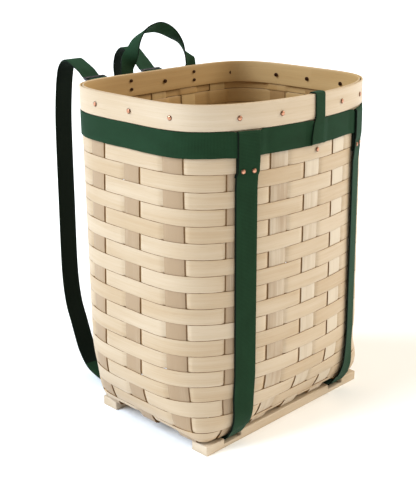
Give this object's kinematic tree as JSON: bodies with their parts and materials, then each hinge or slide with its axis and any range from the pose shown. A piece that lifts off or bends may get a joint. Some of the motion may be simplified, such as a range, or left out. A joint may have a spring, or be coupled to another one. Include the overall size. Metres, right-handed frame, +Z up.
{
  "type": "pack basket",
  "caption": "Tall woven splint basket with flat bent rim hoops, wooden skids, a webbing harness with shoulder straps and a carrying handle, for loads carried on the back",
  "frame": {"origin": "under the middle of the whole outline, straps included, on the floor that the skids stand on", "axes": "+Z up, +X across the width, +Y towards the wearer's back, so the outer face with the two long straps looks to -Y"},
  "size_m": [0.3804, 0.4434, 0.5266],
  "materials": {
    "ash_splint": "pale sanded hardwood splint, clear finish",
    "rim_ash": "smooth bent hardwood, clear finish",
    "skid_wood": "planed hardwood, clear finish",
    "green_webbing": "dark green woven webbing, matt",
    "copper": "bright copper",
    "buckle_black": "black, semi-gloss"
  },
  "bodies": {
    "basket": {"band_keeper": "green_webbing", "base_filler_cross_1": "ash_splint", "base_filler_cross_2": "ash_splint", "base_filler_long_1": "ash_splint", "base_filler_long_2": "ash_splint", "base_filler_long_3": "ash_splint", "base_filler_long_4": "ash_splint", "front_rivet_left_1": "copper", "front_rivet_left_2": "copper", "front_rivet_right_1": "copper", "front_rivet_right_2": "copper", "front_strap_left": "green_webbing", "front_strap_right": "green_webbing", "handle_rivet_left_1": "copper", "handle_rivet_left_2": "copper", "handle_rivet_right_1": "copper", "handle_rivet_right_2": "copper", "handle_tab_left": "green_webbing", "handle_tab_right": "green_webbing", "harness_band": "green_webbing", "keeper_rivet": "copper", "rim_inner": "rim_ash", "rim_outer": "rim_ash", "skid_front": "skid_wood", "skid_rear": "skid_wood", "stake_cross_1": "ash_splint", "stake_cross_2": "ash_splint", "stake_cross_3": "ash_splint", "stake_long_1": "ash_splint", "stake_long_2": "ash_splint", "stake_long_3": "ash_splint", "stake_long_4": "ash_splint", "stake_long_5": "ash_splint", "strap_tab_left": "green_webbing", "strap_tab_right": "green_webbing", "weaver_01": "ash_splint", "weaver_02": "ash_splint", "weaver_03": "ash_splint", "weaver_04": "ash_splint", "weaver_05": "ash_splint", "weaver_06": "ash_splint", "weaver_07": "ash_splint", "weaver_08": "ash_splint", "weaver_09": "ash_splint", "weaver_10": "ash_splint", "weaver_11": "ash_splint", "weaver_12": "ash_splint", "weaver_13": "ash_splint", "weaver_14": "ash_splint", "weaver_15": "ash_splint", "weaver_16": "ash_splint", "weaver_17": "ash_splint", "weaver_18": "ash_splint", "weaver_19": "ash_splint", "weaver_20": "ash_splint"},
    "strap_left": {"shoulder_strap_left": "green_webbing", "strap_buckle_left": "buckle_black"},
    "strap_right": {"shoulder_strap_right": "green_webbing", "strap_buckle_right": "buckle_black"},
    "handle": {"carry_handle": "green_webbing"}
  },
  "joints": [
    {"name": "strap_swing_left", "type": "hinge", "parent": "basket", "child": "strap_left", "pos_m": [-0.11, 0.02988, 0.0067], "axis": [0.1236, 0.2264, 0.9662], "range_deg": [-15, 40]},
    {"name": "strap_swing_right", "type": "hinge", "parent": "basket", "child": "strap_right", "pos_m": [0.11, 0.02988, 0.0067], "axis": [-0.1236, 0.2264, 0.9662], "range_deg": [-40, 15]},
    {"name": "handle_fold", "type": "hinge", "parent": "basket", "child": "handle", "pos_m": [0, 0.07802, 0.4602], "axis": [1, 0, 0], "range_deg": [-15, 80]}
  ]
}
